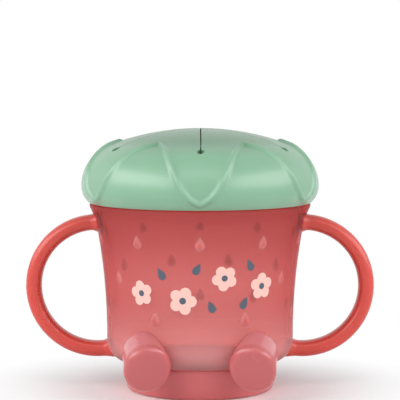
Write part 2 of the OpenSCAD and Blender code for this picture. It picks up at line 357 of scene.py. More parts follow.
@dataclass(frozen=True)
class Finish:
    """A moulded surface with a fine grain in its gloss and relief.

    Attributes:
        name: Name of the material.
        colour: Linear base colour.
        roughness: Mean roughness.
        grain: Size of the relief's grain in millimetres.
        relief: Strength of the relief.
        coat: Weight of a clear gloss over the colour.
        coat_roughness: Roughness of that gloss.
        scatter: Share of the light that goes in and comes out again.
        scatter_radius: How far red, green and blue spread inside, beside each other.
        transmission: Share of the light that goes through.
        ior: Index of refraction.
        shine: Level of the mirror share, 0.5 being that of a common plastic.
        mottle: Strength of the slow change in tone over the surface.
        absorb: Colour that light keeps inside the material, if it goes through.
        density: Strength of that colouring to a metre.
        deep_and_shade: Colour where the mesh's share "depth" is one. Its mix with the base colour
            is partly the material's own deeper tone and partly painted light and shade.
        haze: Part of the transmission that is lost where the share "haze" is one.
    """

    name: str
    colour: tuple[float, float, float]
    roughness: float = 0.4
    grain: float = 1.2
    relief: float = 0.05
    coat: float = 0.0
    coat_roughness: float = 0.12
    scatter: float = 0.0
    scatter_radius: tuple[float, float, float] = (1.0, 0.6, 0.5)
    transmission: float = 0.0
    ior: float = 1.45
    shine: float = 0.5
    mottle: float = 0.06
    absorb: tuple[float, float, float] | None = None
    density: float = 0.0
    deep_and_shade: tuple[float, float, float] | None = None
    haze: float = 0.0

    def constants(self) -> dict[str, float | tuple[float, float, float]]:
        """Gather the values that are the same all over the surface.

        Returns:
            The values by the name of their shader socket.
        """
        return {
            "Metallic": 0.0,
            "IOR": self.ior,
            "Specular IOR Level": self.shine,
            "Coat Weight": self.coat,
            "Coat Roughness": self.coat_roughness,
            "Subsurface Weight": self.scatter,
            "Subsurface Radius": self.scatter_radius,
            "Subsurface Scale": SCATTER_DEPTH,
            "Transmission Weight": self.transmission,
        }

    def tone_and_shade(
        self, tree: bpy.types.NodeTree, cloud: bpy.types.NodeSocket
    ) -> bpy.types.NodeSocket:
        """Colour of the surface: a slow mottle, sunk into the deep colour by the depth there, which
        paints light and shade as well as the material's deeper tone.

        Args:
            tree: Material's node tree.
            cloud: Socket of the slow noise.

        Returns:
            Socket of the colour.
        """
        mottled = tree.nodes.new("ShaderNodeMix")
        mottled.data_type = "RGBA"
        shade = [channel * (1 - self.mottle) for channel in self.colour]
        tint = [min(1.0, channel * (1 + self.mottle)) for channel in self.colour]
        mottled.inputs["A"].default_value = (*shade, 1)
        mottled.inputs["B"].default_value = (*tint, 1)
        tree.links.new(cloud, mottled.inputs["Factor"])
        if not self.deep_and_shade:
            return mottled.outputs["Result"]
        # Mix towards the deep colour by the share "depth": partly painted shade and painted light,
        # partly the material's deeper tone.
        deepened_and_shaded = tree.nodes.new("ShaderNodeMix")
        deepened_and_shaded.data_type = "RGBA"
        deepened_and_shaded.inputs["B"].default_value = (*self.deep_and_shade, 1)
        tree.links.new(read_share(tree, "depth"), deepened_and_shaded.inputs["Factor"])
        tree.links.new(mottled.outputs["Result"], deepened_and_shaded.inputs["A"])
        return deepened_and_shaded.outputs["Result"]

    def material(self) -> bpy.types.Material:
        """Build the node material at its first use.

        Returns:
            The material, which all pieces of this finish share.
        """
        found = bpy.data.materials.get(self.name)
        if found:
            return found
        material = bpy.data.materials.new(self.name)
        material.use_nodes = True
        tree = material.node_tree
        shader = tree.nodes["Principled BSDF"]
        for socket, value in self.constants().items():
            shader.inputs[socket].default_value = value
        place = tree.nodes.new("ShaderNodeTexCoord").outputs["Object"]
        cloud = noise(tree, place, CLOUD_SCALE, CLOUD_DETAIL)
        tree.links.new(self.tone_and_shade(tree, cloud), shader.inputs["Base Color"])
        if self.haze:
            hazy = self.transmission * (1 - self.haze)
            clear = between(tree, read_share(tree, "haze"), self.transmission, hazy)
            tree.links.new(clear, shader.inputs["Transmission Weight"])
        smooth = max(LEAST_ROUGHNESS, self.roughness - GLOSS_SWING)
        dull = min(1.0, self.roughness + GLOSS_SWING)
        tree.links.new(between(tree, cloud, smooth, dull), shader.inputs["Roughness"])
        bump = tree.nodes.new("ShaderNodeBump")
        bump.inputs["Strength"].default_value = self.relief
        bump.inputs["Distance"].default_value = GRAIN_DEPTH
        grain = noise(tree, place, 1 / (self.grain * MM), GRAIN_DETAIL)
        tree.links.new(grain, bump.inputs["Height"])
        tree.links.new(bump.outputs["Normal"], shader.inputs["Normal"])
        if self.absorb:
            inside = tree.nodes.new("ShaderNodeVolumeAbsorption")
            inside.inputs["Color"].default_value = (*self.absorb, 1)
            inside.inputs["Density"].default_value = self.density
            output = tree.nodes["Material Output"]
            tree.links.new(inside.outputs["Volume"], output.inputs["Volume"])
        return material


# The cup's deep colour paints shade towards the collar and gives the seeds their thicker tone; its
# heel is painted paler as light.
TINTED_CUP = Finish(
    "tinted_cup", (0.96, 0.64, 0.63), roughness=0.16, relief=0.03, coat=0.06, coat_roughness=0.06,
    transmission=0.86, ior=1.02, shine=0.3, mottle=0.03, absorb=(0.88, 0.2, 0.18), density=220.0,
    deep_and_shade=(0.54, 0.045, 0.035), haze=0.6,
)
BASE_PLASTIC = Finish(
    "base_plastic", (0.58, 0.135, 0.14), roughness=0.3, scatter=0.2, coat=0.1,
)
HANDLE_PLASTIC = Finish(
    "handle_plastic", (0.60, 0.062, 0.045), roughness=0.33, scatter=0.15, coat=0.15,
)
# The foot's base colour is the leg painted paler as painted sheen; its deep colour is the sole's
# tone.
FOOT_PLASTIC = Finish(
    "foot_plastic", (0.62, 0.19, 0.20), roughness=0.26, scatter=0.25, coat=0.25,
    deep_and_shade=(0.50, 0.11, 0.115),
)
# The lid's deep colour is painted shade over the crown.
LID_SILICONE = Finish(
    "lid_silicone", (0.20, 0.385, 0.25), grain=0.8, relief=0.08, coat=0.5, coat_roughness=0.26,
    scatter=0.25, scatter_radius=(0.7, 1.0, 0.8), mottle=0.05, deep_and_shade=(0.075, 0.20, 0.105),
)
PALE_PINK_INK = Finish("pale_pink_ink", (0.82, 0.50, 0.44), roughness=0.35, mottle=0.02)
SLATE_INK = Finish("slate_ink", (0.075, 0.095, 0.13), roughness=0.35, mottle=0.03)


def dress(piece: bpy.types.Object, finish: Finish, body: str) -> None:
    """Give a piece its finish and the body it rides on.

    Args:
        piece: Piece to dress.
        finish: Its finish.
        body: Body it rides on, or nothing to leave it unattached.
    """
    piece.data.materials.clear()
    piece.data.materials.append(finish.material())
    if body:
        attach(piece, body)
    LOG.info("%s: %d faces", piece.name, len(piece.data.polygons))


# ---- Cup and base ----


@dataclass
class SnackCup:
    """The tinted cup, with raised seeds over its wall and a spigot that the base holds.

    Attributes:
        waist_r: Outer radius of the straight lower wall.
        flare_arc_r: Radius of the long arc by which the wall flares.
        flare_start_z: Height at which the flare starts.
        wall: Wall thickness.
        heel_r: Radius of the arc between the wall and the step.
        heel_z: Height at which the heel meets the wall.
        step_z: Height of the step that rests on the base.
        well_r: Radius of the well in the spigot.
        floor_z: Height of the inner floor.
        under_z: Height of the underside, inside the base.
        under_rs: Radii of two rings on the underside, the outer one being the spigot's foot.
        spigot_r: Radius of the spigot under the step.
        collar_z: Height of the collar's foot.
        collar_r: Radius of the collar that the lid stops on.
        collar_rise: Height over which the collar widens.
        collar_top_z: Height of the collar's top.
        lip: How far the collar stands out at its foot, and how far up.
        rim_r: Outer radius of the upright rim.
        rim_wall: Wall thickness of the rim.
        rim_top_z: Height of the rim's top.
        rim_fillets: Fillets on the outside, from the collar's foot to the rim's top.
        mouth_fillet: Fillet inside the rim's top.
        mouth_rise: How far over the collar's foot the rim's upright inside starts.
        well_fillets: Fillets at the well's mouth and floor.
        seed_len: Length of a seed.
        seed_w: Width of a seed.
        seed_rise: How far a seed stands out.
        seed_sink: How far the middle of its round end lies under its row's height.
        seed_brow: Share of the depth inside its edge at which it reaches that rise.
        seed_rows: Turns of the seeds from the front in degrees, by the height of their row.
        heel_points: Count of points on the heel's arc.
        flare_points: Count of points up the outside of the wall.
        inner_points: Count of points down its inside.
        turns: Count of steps round the axis.
        tone_and_shade_shares: Share of the deep colour in heel, wall, top and seeds: the heel's low
            share is painted light, the top's high share painted shade, and the seeds' high share
            their thicker tone.
        light_and_shade_zs: Heights where the heel's painted light turns to wall, and where wall
            turns to the top's painted shade.
        heel_haze: Share of the haze in the heel.
        skin: How far under the outer wall a vertex still counts as outside.
    """

    waist_r: float = 34.4
    flare_arc_r: float = 218.0
    flare_start_z: float = 21.0
    wall: float = 2.0
    heel_r: float = 7.0
    heel_z: float = 18.0
    step_z: float = 11.4
    well_r: float = 22.8
    floor_z: float = 4.6
    under_z: float = 2.55
    under_rs: tuple[float, float] = (12.0, 24.7)
    spigot_r: float = 26.9
    collar_z: float = 64.8
    collar_r: float = 40.64
    collar_rise: float = 3.0
    collar_top_z: float = 68.9
    lip: tuple[float, float] = (0.45, 0.15)
    rim_r: float = 38.74
    rim_wall: float = 2.1
    rim_top_z: float = 74.8
    rim_fillets: tuple[float, ...] = (0.2, 1.6, 0.5, 0.25, 0.9)
    mouth_fillet: float = 0.8
    mouth_rise: float = 0.4
    well_fillets: tuple[float, float] = (1.2, 4.0)
    seed_len: float = 6.0
    seed_w: float = 4.2
    seed_rise: float = 0.95
    seed_sink: float = 1.0
    seed_brow: float = 0.8
    seed_rows: dict[float, list[float]] = field(
        default_factory=lambda: {
            57.6: [36.0 * place for place in range(10)],
            44.0: [54, 126, 162, 198, 234, 306],
            30.4: [27, 72, 108, 144, 180, 216, 252, 288, 333],
        }
    )
    heel_points: int = 18
    flare_points: int = 112
    inner_points: int = 16
    turns: int = 440
    tone_and_shade_shares: tuple[float, float, float, float] = (0.12, 0.23, 0.55, 0.8)
    light_and_shade_zs: tuple[float, float, float, float] = (14.0, 25.0, 38.0, 64.0)
    heel_haze: float = 0.38
    skin: float = 0.4

    def wall_r(self, height: np.ndarray, inset: float = 0.0) -> np.ndarray:
        """Radius of the flared wall: the waist plus the sagitta of the long arc at that height.

        Args:
            height: Heights at which it is wanted.
            inset: How far inside the outer wall.

        Returns:
            The radius at each height.
        """
        rise = np.clip(np.asarray(height, dtype=float) - self.flare_start_z, 0, None)
        arc = self.flare_arc_r + inset
        return self.waist_r + self.flare_arc_r - np.sqrt(arc**2 - rise**2)

    def spigot_profile(self) -> np.ndarray:
        """Underside of the cup and the spigot that stands in the base.

        Returns:
            Rows of radius and height.
        """
        return np.array(
            [
                [0.0, self.under_z],
                [self.under_rs[0], self.under_z],
                [self.under_rs[1], self.under_z],
                [self.spigot_r, self.step_z],
            ]
        )

    def outer_profile(self) -> np.ndarray:
        """Outside of the cup from its step to the rim's top: heel arc, wall, collar and rim.

        Returns:
            Rows of radius and height.
        """
        low = math.asin((self.heel_z - self.step_z) / self.heel_r)
        angle = np.linspace(-low, 0, self.heel_points)
        heel = self.heel_r * np.stack([np.cos(angle), np.sin(angle)], axis=1)
        heel += (self.waist_r - self.heel_r, self.heel_z)
        height = np.linspace(self.heel_z, self.collar_z, self.flare_points)[1:]
        flare = np.stack([self.wall_r(height), height], axis=1)
        edge_r = float(self.wall_r(np.array(self.collar_z)))
        foot, wide, brow, nook, top = self.rim_fillets
        collar = rounded_profile(
            [
                (edge_r, self.collar_z, 0),
                (edge_r + self.lip[0], self.collar_z + self.lip[1], foot),
                (self.collar_r, self.collar_z + self.collar_rise, wide),
                (self.collar_r, self.collar_top_z, brow),
                (self.rim_r, self.collar_top_z, nook),
                (self.rim_r, self.rim_top_z, top),
                (self.rim_r - self.rim_wall / 2, self.rim_top_z, 0),
            ],
            step=0.3,
        )
        return np.concatenate([heel, flare, collar[1:]])

    def inner_profile(self) -> np.ndarray:
        """Inside of the cup from the rim's top down to the middle of its floor.

        Returns:
            Rows of radius and height.
        """
        mouth = self.rim_r - self.rim_wall
        height = np.linspace(self.collar_z, self.flare_start_z, self.inner_points)
        flare = np.stack([self.wall_r(height, self.wall), height], axis=1)
        rim = rounded_profile(
            [
                (self.rim_r - self.rim_wall / 2, self.rim_top_z, 0),
                (mouth, self.rim_top_z, self.mouth_fillet),
                (mouth, self.collar_z + self.mouth_rise, 0),
            ],
            step=0.6,
        )
        inner_r, ledge_z = self.waist_r - self.wall, self.heel_z - self.heel_r + self.wall
        low = rounded_profile(
            [
                (inner_r, self.flare_start_z, 0),
                (inner_r, ledge_z, self.heel_r - self.wall),
                (self.well_r, ledge_z, self.well_fillets[0]),
                (self.well_r, self.floor_z, self.well_fillets[1]),
                (0.0, self.floor_z, 0),
            ],
            step=0.9,
        )
        return np.concatenate([rim[1:], flare, low[1:]])

    def seed_relief(self, azimuth: np.ndarray, height: np.ndarray) -> np.ndarray:
        """Height of the seeds over the wall.

        A seed is a drop: a round end and straight sides that touch it and meet at the tip. The
        relief rises with the square root of the depth inside the drop's edge, like a lens.

        Args:
            azimuth: Turns from the front, in radians.
            height: Heights, of a shape that goes with the turns.

        Returns:
            The relief in millimetres at each place.
        """
        relief = np.zeros(np.broadcast(azimuth, height).shape)
        end_r = self.seed_w / 2
        lean = math.asin(end_r / (self.seed_len - end_r))
        for row_z, places in self.seed_rows.items():
            radius = float(self.wall_r(np.array(row_z)))
            for place in places:
                turn = (azimuth - math.radians(place) + math.pi) % (2 * math.pi) - math.pi
                across = np.abs(turn) * radius
                up = height - row_z + self.seed_sink
                side = across * math.cos(lean) + up * math.sin(lean) - end_r
                ball = np.hypot(across, up) - end_r
                edge = np.where(up > end_r * math.sin(lean), side, ball)
                depth = np.clip(-edge / end_r, 0, 1)
                lens = np.sqrt(smooth_step(0, self.seed_brow, depth))
                relief = np.maximum(relief, self.seed_rise * lens)
        return relief

    def build(self) -> bpy.types.Object:
        """Carry the profile round the axis, and raise the seeds on its outside.

        Returns:
            The new piece.
        """
        spigot, outer, inner = self.spigot_profile(), self.outer_profile(), self.inner_profile()
        profile = np.concatenate([spigot, outer, inner])
        azimuth = np.linspace(0, 2 * math.pi, self.turns, endpoint=False)
        radius = profile[:, :1] + 0 * azimuth
        height = profile[:, 1:] + 0 * azimuth
        wall = slice(len(spigot), len(spigot) + len(outer))
        radius[wall] += self.seed_relief(azimuth[None, :], height[wall])
        grid = np.stack([radius * np.sin(azimuth), -radius * np.cos(azimuth), height], axis=-1)
        return closed_piece("tinted_cup", grid)

    def mark_tint_and_shade(self, piece: bpy.types.Object) -> None:
        """Store how deep and how hazy the tint is at each point, with painted light and shade in
        its depth.

        It is palest in the heel as painted light from the floor, even in the wall, deeper towards
        the collar as painted shade under the lid, and deepest in the seeds, whose thickness deepens
        their tone. Less light goes through the heel and the seeds.

        Args:
            piece: The cup.
        """
        x, y, height = spots_of(piece)
        outside = np.hypot(x, y) > self.wall_r(height) - self.skin
        seeds = outside * self.seed_relief(np.arctan2(x, -y), height) / self.seed_rise
        heel, wall, top, seed = self.tone_and_shade_shares
        heel_z, wall_z, rise_z, top_z = self.light_and_shade_zs
        # Painted light and shade by height: the heel painted paler, the top painted darker under
        # the lid.
        tone_and_shade = heel + (wall - heel) * smooth_step(heel_z, wall_z, height)
        tone_and_shade += (top - wall) * smooth_step(rise_z, top_z, height)
        # The seeds keep the deeper tone of their thickness.
        set_share(piece, "depth", np.maximum(tone_and_shade, seed * seeds))
        haze = self.heel_haze * (1 - smooth_step(heel_z, rise_z, height))
        set_share(piece, "haze", np.maximum(haze, seeds))

    def dress(self) -> None:
        """Build the cup and give it its finish."""
        piece = self.build()
        self.mark_tint_and_shade(piece)
        dress(piece, TINTED_CUP, "cup")
        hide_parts("cup_body")


@dataclass
class BaseBoot:
    """The narrow base under the cup: a shallow boot with a recess in its underside.

    Attributes:
        foot_r: Outer radius of its foot.
        top_r: Outer radius of its top.
        height: Its height.
        floor: Height of its inner floor.
        wall: Its wall thickness.
        recess_r: Radius of the recess.
        recess: Depth of the recess.
        foot_fillet: Fillet round its foot.
        top_fillet: Fillet round its top.
        lip_fillet: Fillet inside its top.
        soft: Fillet of its other edges.
        turns: Count of steps round the axis.
    """

    foot_r: float = 26.8
    top_r: float = 29.0
    height: float = 11.35
    floor: float = 2.5
    wall: float = 2.0
    recess_r: float = 21.0
    recess: float = 0.8
    foot_fillet: float = 1.6
    top_fillet: float = 0.6
    lip_fillet: float = 0.2
    soft: float = 0.3
    turns: int = 192

    def dress(self) -> None:
        """Build the boot as one closed turned form and give it its finish."""
        profile = rounded_profile(
            [
                (0.0, self.recess, 0),
                (self.recess_r, self.recess, self.soft),
                (self.recess_r, 0.0, self.soft),
                (self.foot_r, 0.0, self.foot_fillet),
                (self.top_r, self.height, self.top_fillet),
                (self.top_r - self.wall, self.height, self.lip_fillet),
                (self.foot_r - self.wall, self.floor, self.soft),
                (0.0, self.floor, 0),
            ]
        )
        piece = revolve("grip_base", profile, self.turns)
        dress(piece, BASE_PLASTIC, "cup")
        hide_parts("base_boot")


# ---- Handles and feet ----


@dataclass
class LoopHandle:
    """One loop handle: an oval section carried along a circular arc, flared at both roots.

    Attributes:
        side: Side of the cup.
        arc_r: Radius of the arc through the section's middle.
        middle_x: Place of the arc's centre, out from the cup's axis.
        middle_z: Height of the arc's centre.
        thickness: Size of the section in the arc's plane.
        width: Size of the section across that plane.
        flare: How much each half-axis grows at a root.
        flare_share: Part of the flare that the thickness takes.
        flare_deg: Stretch of arc over which a root flares.
        top_deg: Angle at which the arc ends in the wall, over the horizontal.
        low_deg: Angle at which it starts in the wall.
        squareness: Power of the section's superellipse.
        rows: Count of sections.
        columns: Count of points on a section.
    """

    side: Side
    arc_r: float = 23.5
    middle_x: float = 37.9
    middle_z: float = 38.2
    thickness: float = 5.8
    width: float = 8.0
    flare: float = 1.3
    flare_share: float = 0.7
    flare_deg: float = 12.0
    top_deg: float = 93.0
    low_deg: float = -104.5
    squareness: float = 2.5
    rows: int = 120
    columns: int = 48

    def growth(self, along: np.ndarray) -> np.ndarray:
        """Growth of the half-axes: it rises smoothly towards both roots.

        Args:
            along: Angle along the arc, in radians.

        Returns:
            The growth in millimetres at each angle.
        """
        top, low, reach = np.radians([self.top_deg, self.low_deg, self.flare_deg])
        near_top = smooth_step(top - reach, top, along)
        near_low = smooth_step(-low - reach, -low, -along)
        return self.flare * (near_top**2 + near_low**2)

    def dress(self) -> None:
        """Build the handle and give it its finish.

        A section is a superellipse: each half-axis times the sine or cosine, both raised to two
        over the squareness. A ring of equal points closes each end.
        """
        along = np.radians(np.linspace(self.low_deg, self.top_deg, self.rows))[:, None]
        around = np.linspace(0, 2 * math.pi, self.columns, endpoint=False)[None, :]
        grow, power = self.growth(along), 2 / self.squareness
        cosine, sine = np.cos(around), np.sin(around)
        out = self.thickness / 2 + grow * self.flare_share
        reach = self.arc_r + out * np.sign(cosine) * np.abs(cosine) ** power
        depth = (self.width / 2 + grow) * np.sign(sine) * np.abs(sine) ** power
        grid = np.stack(
            [
                self.side.value * (self.middle_x + reach * np.cos(along)),
                depth,
                self.middle_z + reach * np.sin(along),
            ],
            axis=-1,
        )
        ends = [np.broadcast_to(grid[row].mean(axis=0), grid[:1].shape) for row in (0, -1)]
        name = self.side.name.lower()
        piece = closed_piece(f"{name}_loop", np.concatenate([ends[0], grid, ends[1]]))
        dress(piece, HANDLE_PLASTIC, "cup")
        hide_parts(f"{name}_handle")


@dataclass
class Foot:
    """One foot: a rounded pod that leans down and out of the cup's lower front.

    Attributes:
        side: Side of the cup.
        radius: Radius of the sole across.
        root_radius: Radius of the ball at the root.
        oval: Height of the sole over its width.
        length: Distance from the sole to the middle of the ball.
        sole_round: Fillet round the sole.
        sole_bulge: How far the sole's middle stands out.
        sole_x: Place of the sole's middle, out from the cup's middle.
        sole_y: Its place forwards.
        sole_z: Its height.
        tilt_deg: How far the pod leans down.
        splay_deg: How far it turns in from straight ahead.
        leg_sheen_span: Where the deep tone of the sole starts and ends, measured from the sole;
            behind it the leg is painted paler as painted sheen.
        ball_points: Count of points on the ball's arc.
        columns: Count of steps round the pod.
    """

    side: Side
    radius: float = 8.4
    root_radius: float = 7.2
    oval: float = 1.12
    length: float = 11.6
    sole_round: float = 2.4
    sole_bulge: float = 0.35
    sole_x: float = 18.09
    sole_y: float = 38.8
    sole_z: float = 12.6
    tilt_deg: float = 24.0
    splay_deg: float = 12.0
    leg_sheen_span: tuple[float, float] = (-4.5, -1.5)
    ball_points: int = 18
    columns: int = 72

    def profile(self) -> np.ndarray:
        """Half outline of the pod: the ball, a straight side that touches it, and the sole.

        Returns:
            Rows of radius and distance in front of the sole's edge.
        """
        edge_x, run_y = self.radius - self.sole_round, self.length - self.sole_round
        gain = (self.root_radius - self.sole_round) / math.hypot(edge_x, run_y)
        lean = math.atan2(run_y, edge_x) - math.acos(gain)
        ball = np.linspace(-math.pi / 2, lean, self.ball_points)
        root = self.root_radius * np.stack([np.cos(ball), np.sin(ball)], axis=1)
        root[:, 1] -= self.length
        corner_x = edge_x + self.sole_round * (1 - math.sin(lean)) / math.cos(lean)
        front = rounded_profile(
            [(*root[-1], 0), (corner_x, 0.0, self.sole_round), (0.0, self.sole_bulge, 0)],
            step=0.4,
        )
        return np.concatenate([root, front[1:]])

    def dress(self) -> None:
        """Turn the outline about the pod's own axis, lay it in place and give it its finish."""
        profile = self.profile()
        turn = np.linspace(0, 2 * math.pi, self.columns, endpoint=False)
        radius, height = profile[:, :1], profile[:, 1:]
        x, y, z = radius * np.cos(turn), self.oval * radius * np.sin(turn), height + 0 * turn
        tilt, splay = math.radians(90 + self.tilt_deg), math.radians(self.splay_deg)
        y, z = y * math.cos(tilt) - z * math.sin(tilt), y * math.sin(tilt) + z * math.cos(tilt)
        x, y = x * math.cos(splay) - y * math.sin(splay), x * math.sin(splay) + y * math.cos(splay)
        place = (self.side.value * self.sole_x, -self.sole_y, self.sole_z)
        grid = np.stack([-self.side.value * x, y, z], axis=-1) + place
        name = self.side.name.lower()
        piece = closed_piece(f"{name}_pod", grid)
        self.mark_sole_and_leg_sheen(piece)
        dress(piece, FOOT_PLASTIC, "cup")
        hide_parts(f"{name}_foot")

    def mark_sole_and_leg_sheen(self, piece: bpy.types.Object) -> None:
        """Store the sole's deeper tone: the leg is painted paler, by its distance behind the sole,
        as painted sheen.

        Args:
            piece: The foot.
        """
        tilt, splay = math.radians(self.tilt_deg), math.radians(self.splay_deg)
        side, front, height = spots_of(piece)
        across = (self.sole_x - self.side.value * side) * math.sin(splay)
        ahead = across - (front + self.sole_y) * math.cos(splay)
        along = ahead * math.cos(tilt) - (height - self.sole_z) * math.sin(tilt)
        # Painted sheen: the leg is painted paler than the sole.
        set_share(piece, "depth", smooth_step(*self.leg_sheen_span, along))


# ---- Lid ----


@dataclass
class FlapLid:
    """The domed silicone lid with its leaf edges, slits and six flaps.

    The dome's profile is three arcs that touch: the crown, the shoulder and the under-round. It
    is measured by its length from the top, here called the run.

    Attributes:
        edge_z: Height of the lower edge.
        belly_h: Height of the widest ring over the lower edge.
        lid_r: Radius of the widest ring.
        under_r: Radius of the under-round's arc.
        shoulder_r: Radius of the shoulder's arc.
        crown_r: Radius of the crown's arc.
        sheet: Thickness of the sheet.
        flaps: Count of flaps, slits and leaves.
        root: Distance from the axis to a flap's straight root.
        hinge: Distance from the axis to a flap's hinge line.
        bend_end: Distance from the axis at which a flap has bent as far as its joint. Not used.
        root_margin: How far inside its root a flap starts to bend. Not used.
        tip_trim: Distance of a flap's tip over that at which its two slits meet.
        slit_half: Half the width of a slit.
        slit_skew: How far the slits lie beside the axis at the crown, as a knife leaves them.
        slit_end: Radius of the middle of a slit's round end.
        slit_end_fade: Length past the round end over which that skew ends.
        hole_r: Radius of the round end.
        hole_margin: Width of the fine band of mesh round the hole.
        rib_w: Width of a raised leaf edge.
        rib_rise: Height of a raised leaf edge.
        leaf_degs: Turns of a leaf's edge from its middle, from its notch to its tip.
        leaf_radii: Radii of the upper part of that edge.
        leaf_drops: Lengths over the lower edge of its lower part.
        crown_shade_rs: Radii between which the crown's painted shade fades out.
        seat_z: Height of the groove's seat on the rim.
        bore_r: Radius of the groove's outer wall.
        skirt_r: Outer radius of the inner skirt.
        skirt_w: Thickness of the inner skirt.
        skirt_drop: How far the skirt reaches under the seat.
        seat_rise: How far the groove's ring reaches over the seat.
        flange: Radius and height of three places on the flange's outside, from top to bottom.
        groove_fillets: Fillets of the seat, the skirt's foot, the ring and the flange's top two.
        rows: Counts of rows over the hole, beside it and under it.
        columns: Count of points across a sector.
        flap_rows: Count of rows from a flap's tip to its root.
        row_power: Power that sets those rows a little closer towards the root.
        lookup_points: Count of runs between which the dome is looked up.
        turns: Count of steps round the groove's ring.
    """

    edge_z: float = 69.3
    belly_h: float = 6.0
    lid_r: float = 43.645
    under_r: float = 8.0
    shoulder_r: float = 15.9
    crown_r: float = 94.0
    sheet: float = 1.7
    flaps: int = 6
    root: float = 27.4
    hinge: float = 25.8
    bend_end: float = 20.0
    root_margin: float = 0.1
    tip_trim: float = 1.02
    slit_half: float = 0.2
    slit_skew: float = 0.25
    slit_end: float = 34.9
    slit_end_fade: float = 2.0
    hole_r: float = 1.35
    hole_margin: float = 0.15
    rib_w: float = 3.2
    rib_rise: float = 0.95
    leaf_degs: tuple[float, ...] = (30.0, 25.0, 20.6, 17.6, 15.2, 13.0, 11.0, 8.6, 5.0, 0.0)
    leaf_radii: tuple[float, ...] = (29.4, 31.9, 34.8, 37.5, 39.8, 41.6, 42.8)
    leaf_drops: tuple[float, ...] = (8.2, 4.9, 2.7)
    crown_shade_rs: tuple[float, float] = (24.0, 39.0)
    seat_z: float = 74.9
    bore_r: float = 38.845
    skirt_r: float = 36.545
    skirt_w: float = 1.6
    skirt_drop: float = 3.0
    seat_rise: float = 2.0
    flange: tuple[tuple[float, float], ...] = ((41.9, 76.9), (42.6, 74.3), (39.7, 69.35))
    groove_fillets: tuple[float, ...] = (0.3, 0.5, 0.6, 0.4, 0.5)
    rows: tuple[int, int, int] = (12, 26, 52)
    columns: int = 84
    flap_rows: int = 56
    row_power: float = 0.9
    lookup_points: int = 2000
    turns: int = 192

    def __post_init__(self) -> None:
        """Work out the arcs that the driving sizes give."""
        self.step = 2 * math.pi / self.flaps
        self.shoulder_x = self.lid_r - self.shoulder_r
        self.lean = math.asin(self.shoulder_x / (self.crown_r - self.shoulder_r))
        self.drop = math.sqrt((self.crown_r - self.shoulder_r) ** 2 - self.shoulder_x**2)
        self.belly_z = self.edge_z + self.belly_h
        self.crown_len = self.crown_r * self.lean
        self.upper_len = self.crown_len + self.shoulder_r * (math.pi / 2 - self.lean)
        self.total_len = self.upper_len + self.under_r * math.asin(self.belly_h / self.under_r)

    def dome(self, run: np.ndarray) -> tuple[np.ndarray, np.ndarray, np.ndarray]:
        """Follow the dome's profile.

        On each arc the lean grows by the length over the arc's radius; the place is the arc's
        centre plus its radius along the lean.

        Args:
            run: Lengths from the top.

        Returns:
            Radius, height and lean of the dome at each length.
        """
        run = np.asarray(run, dtype=float)
        arcs = [run < self.crown_len, run < self.upper_len]
        lean = np.select(
            arcs,
            [run / self.crown_r, self.lean + (run - self.crown_len) / self.shoulder_r],
            math.pi / 2 + (run - self.upper_len) / self.under_r,
        )
        centre_x = np.select(arcs, [0.0, self.shoulder_x], self.lid_r - self.under_r)
        centre_z = np.where(arcs[0], self.belly_z - self.drop, self.belly_z)
        arc = np.select(arcs, [self.crown_r, self.shoulder_r], self.under_r)
        return centre_x + arc * np.sin(lean), centre_z + arc * np.cos(lean), lean

    def run_at(self, radius: np.ndarray) -> np.ndarray:
        """Find the run at which the upper dome has a radius, by interpolation.

        Args:
            radius: Radii of the upper dome.

        Returns:
            The run at each radius.
        """
        run = np.linspace(0, self.upper_len, self.lookup_points)
        return np.interp(radius, self.dome(run)[0], run)

    def leaf_edge(self) -> np.ndarray:
        """Half of a leaf's edge, from its notch to its tip.

        Returns:
            Rows of arc across and run.
        """
        low = self.total_len - np.array(self.leaf_drops)
        run = np.concatenate([self.run_at(np.array(self.leaf_radii)), low])
        return np.stack([np.radians(self.leaf_degs) * self.dome(run)[0], run], axis=1)

    def rib_relief(self, turn: np.ndarray, run: np.ndarray) -> np.ndarray:
        """Height of the raised leaf edges.

        The nearest distance to the leaf's edge is measured on the surface, and the rib's section
        over that distance is half a cosine wave.

        Args:
            turn: Turns from the front, in radians.
            run: Runs of the same places.

        Returns:
            The relief in millimetres at each place.
        """
        folded = np.abs((turn + self.step / 2) % self.step - self.step / 2)
        across = folded * self.dome(run)[0]
        edge = self.leaf_edge()
        near = np.full(across.shape, np.inf)
        for first, last in zip(edge[:-1], edge[1:], strict=True):
            along = last - first
            share = ((across - first[0]) * along[0] + (run - first[1]) * along[1]) / (along @ along)
            share = np.clip(share, 0, 1)
            gap = np.hypot(across - first[0] - share * along[0], run - first[1] - share * along[1])
            near = np.minimum(near, gap)
        reach = np.clip(near / (self.rib_w / 2), 0, 1)
        return self.rib_rise * 0.5 * (1 + np.cos(np.pi * reach))

    def place(self, turn: np.ndarray, run: np.ndarray, lift: np.ndarray) -> np.ndarray:
        """Find points on the dome, lifted along its normal.

        Args:
            turn: Turns from the front, in radians.
            run: Runs of the same places.
            lift: How far each point is lifted.

        Returns:
            Places in millimetres, with x, y and z as the last axis.
        """
        radius, height, lean = self.dome(run)
        radius = radius + lift * np.sin(lean)
        height = height + lift * np.cos(lean)
        return np.stack([radius * np.sin(turn), -radius * np.cos(turn), height], axis=-1)

    def half_gap(self, radius: np.ndarray) -> np.ndarray:
        """Half the slit's opening: an even slit that ends in a round hole.

        Args:
            radius: Distances from the axis.

        Returns:
            Half the opening at each distance.
        """
        inside = np.clip(self.hole_r**2 - (radius - self.slit_end) ** 2, 0, None)
        slit = np.where(radius < self.slit_end, self.slit_half, 0.0)
        return np.maximum(np.sqrt(inside), slit)

